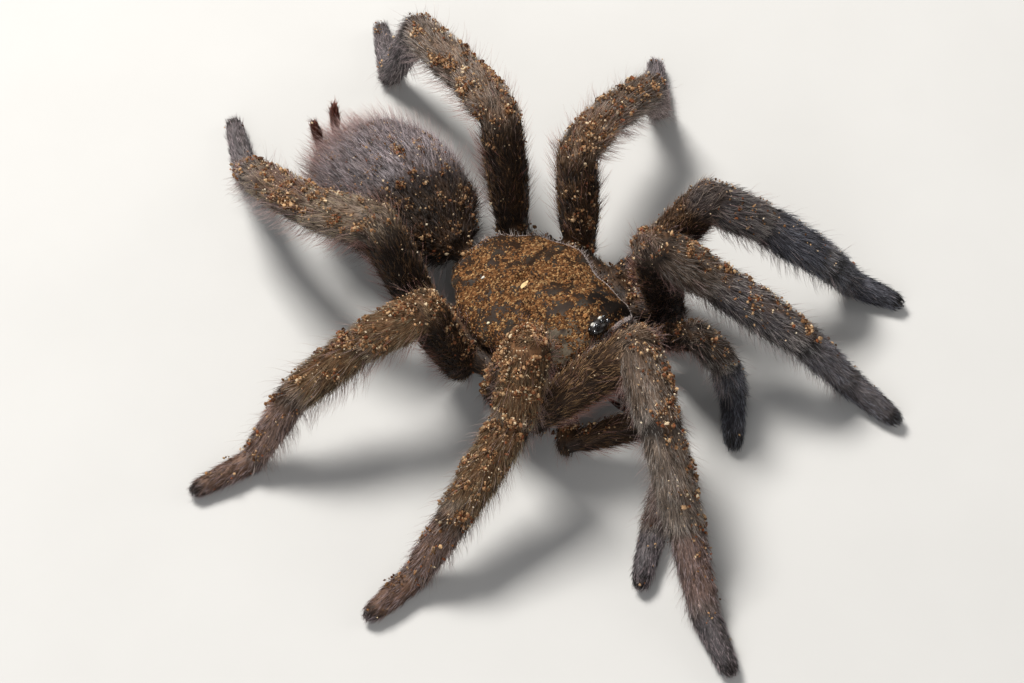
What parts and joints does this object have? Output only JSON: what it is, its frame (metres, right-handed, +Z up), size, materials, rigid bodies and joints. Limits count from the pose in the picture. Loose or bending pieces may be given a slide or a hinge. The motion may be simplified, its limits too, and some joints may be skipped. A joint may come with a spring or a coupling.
{
  "type": "tarantula",
  "caption": "Life-size tarantula crouched on the floor, legs bent and spread, palps down, with a dusty hairy coat.",
  "frame": {"origin": "middle of the animal's footprint box, on the floor", "axes": "+Z up, head toward -Y, the animal's left toward +X"},
  "size_m": [0.0706, 0.0808, 0.0201],
  "materials": {
    "upper_limbs": "matt, olive-brown hair over dark skin",
    "lower_limbs": "matt, blue-grey hair over dark skin",
    "abdomen": "matt, lilac-grey hair over dark skin",
    "carapace": "satin plate with close hair and soil dust",
    "underside": "matt, near black",
    "spinnerets": "matt, dark red-brown",
    "fangs": "smooth, glossy black",
    "eyes": "glossy black"
  },
  "bodies": {
    "root": {"abdomen": "abdomen", "carapace": "carapace", "chelicera_l": "upper_limbs", "chelicera_r": "upper_limbs", "eye_tubercle": "eyes", "fang_l": "fangs", "fang_r": "fangs", "leg_l1_femur": "upper_limbs", "leg_l1_metatarsus": "lower_limbs", "leg_l1_patella": "upper_limbs", "leg_l1_tarsus": "lower_limbs", "leg_l1_tibia": "lower_limbs", "leg_l2_femur": "upper_limbs", "leg_l2_metatarsus": "lower_limbs", "leg_l2_patella": "upper_limbs", "leg_l2_tarsus": "lower_limbs", "leg_l2_tibia": "lower_limbs", "leg_l3_femur": "upper_limbs", "leg_l3_metatarsus": "lower_limbs", "leg_l3_patella": "upper_limbs", "leg_l3_tarsus": "lower_limbs", "leg_l3_tibia": "lower_limbs", "leg_l4_femur": "upper_limbs", "leg_l4_metatarsus": "lower_limbs", "leg_l4_patella": "upper_limbs", "leg_l4_tarsus": "lower_limbs", "leg_l4_tibia": "lower_limbs", "leg_r1_femur": "upper_limbs", "leg_r1_metatarsus": "lower_limbs", "leg_r1_patella": "upper_limbs", "leg_r1_tarsus": "lower_limbs", "leg_r1_tibia": "lower_limbs", "leg_r2_femur": "upper_limbs", "leg_r2_metatarsus": "lower_limbs", "leg_r2_patella": "upper_limbs", "leg_r2_tarsus": "lower_limbs", "leg_r2_tibia": "lower_limbs", "leg_r3_femur": "upper_limbs", "leg_r3_metatarsus": "lower_limbs", "leg_r3_patella": "upper_limbs", "leg_r3_tarsus": "lower_limbs", "leg_r3_tibia": "lower_limbs", "leg_r4_femur": "upper_limbs", "leg_r4_metatarsus": "lower_limbs", "leg_r4_patella": "upper_limbs", "leg_r4_tarsus": "lower_limbs", "leg_r4_tibia": "lower_limbs", "palp_l_femur": "upper_limbs", "palp_l_patella": "upper_limbs", "palp_l_tarsus": "lower_limbs", "palp_l_tibia": "lower_limbs", "palp_r_femur": "upper_limbs", "palp_r_patella": "upper_limbs", "palp_r_tarsus": "lower_limbs", "palp_r_tibia": "lower_limbs", "spinneret_l": "spinnerets", "spinneret_r": "spinnerets", "sternum": "underside"}
  },
  "joints": []
}
